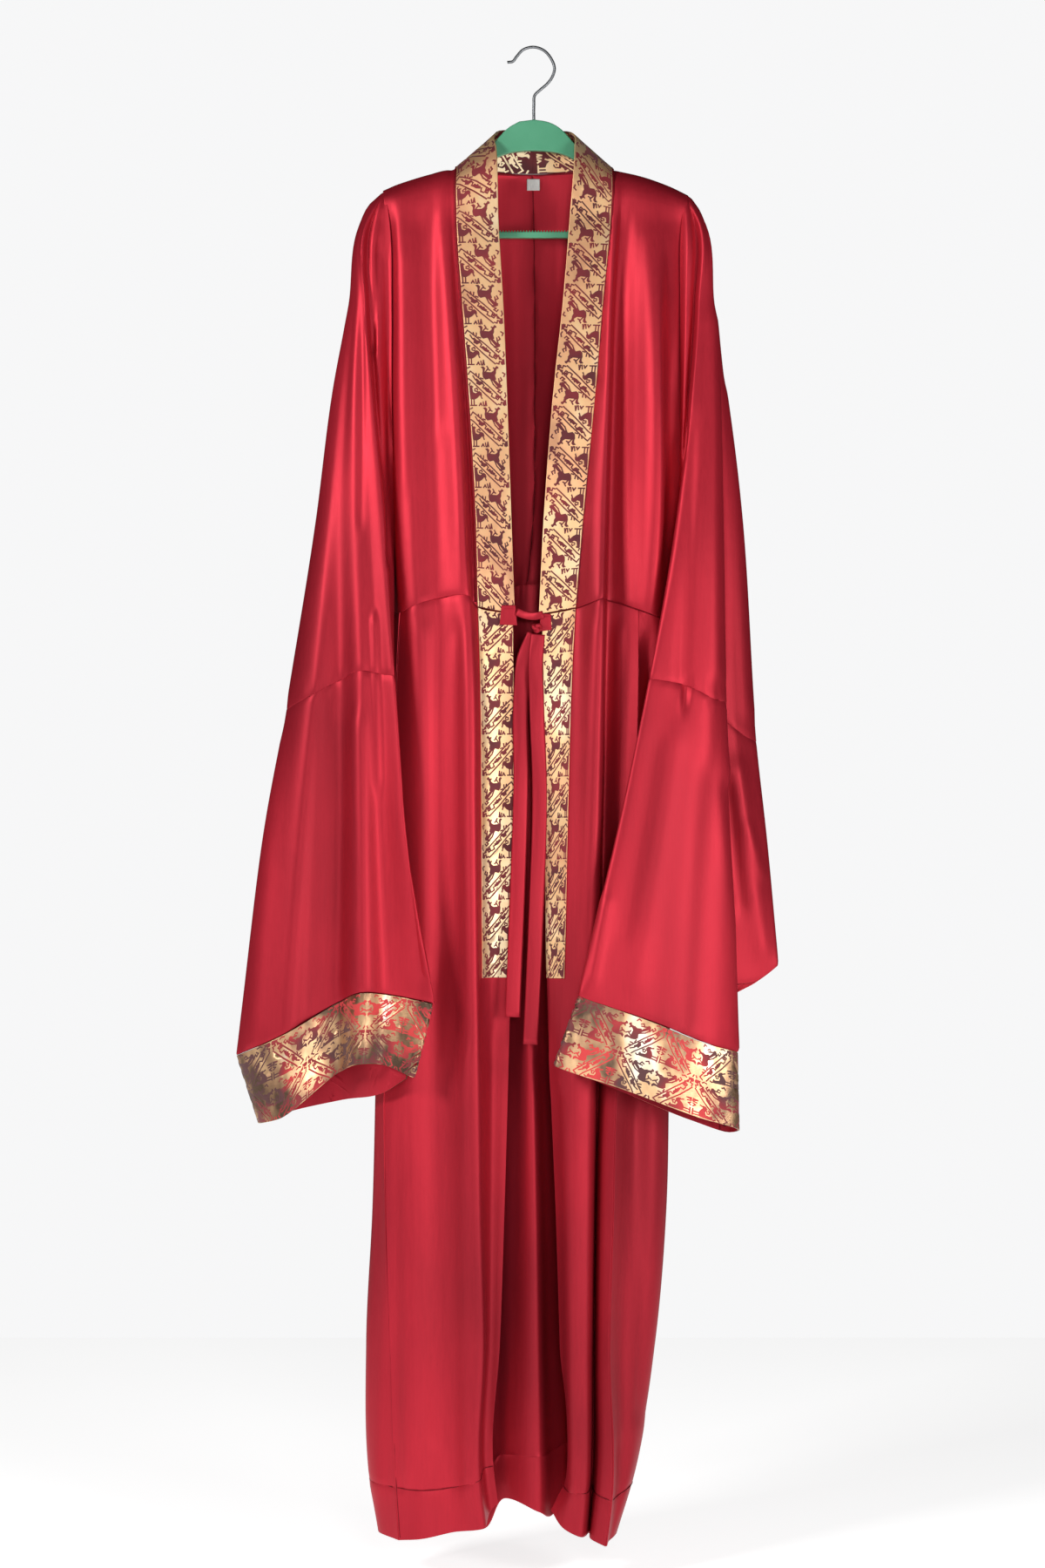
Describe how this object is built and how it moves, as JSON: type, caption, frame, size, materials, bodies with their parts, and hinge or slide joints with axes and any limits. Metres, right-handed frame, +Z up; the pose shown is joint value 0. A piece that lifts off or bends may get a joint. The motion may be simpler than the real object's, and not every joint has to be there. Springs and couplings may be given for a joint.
{
  "type": "hanfu robe on a hanger",
  "caption": "Long red satin hanfu robe with wide sleeves, gold and crimson brocade collar bands and cuffs and a small ribbon tie, hanging open at the front on a green plastic hanger with a wire hook.",
  "frame": {"origin": "the inside of the top of the hanger's wire hook, where a peg or rail carries it", "axes": "+Z up, the robe's front faces -Y, +X to the right as seen from the front"},
  "size_m": [0.5895, 0.1454, 1.6262],
  "materials": {
    "satin": "satin",
    "brocade": "metallic weave",
    "label": "matt",
    "plastic": "satin",
    "steel": "bright"
  },
  "bodies": {
    "root": {"bodice_front_left": "satin", "bodice_front_right": "satin", "bodice_back_left": "satin", "bodice_back_right": "satin", "sleeve_upper_left": "satin", "sleeve_lower_left": "satin", "sleeve_upper_right": "satin", "sleeve_lower_right": "satin", "cuff_left": "brocade", "cuff_right": "brocade", "skirt_front_left": "satin", "skirt_front_right": "satin", "skirt_back": "satin", "hem_front_left": "satin", "hem_front_right": "satin", "hem_back": "satin", "band_lower_left": "brocade", "band_lower_right": "brocade", "collar_left": "brocade", "collar_right": "brocade", "tie_patch_left": "satin", "tie_patch_right": "satin", "tie_bridge": "satin", "tie_knot": "satin", "tie_tail_left": "satin", "tie_tail_right": "satin", "neck_label": "label", "hanger_body": "plastic", "hanger_hook": "steel"}
  },
  "joints": []
}
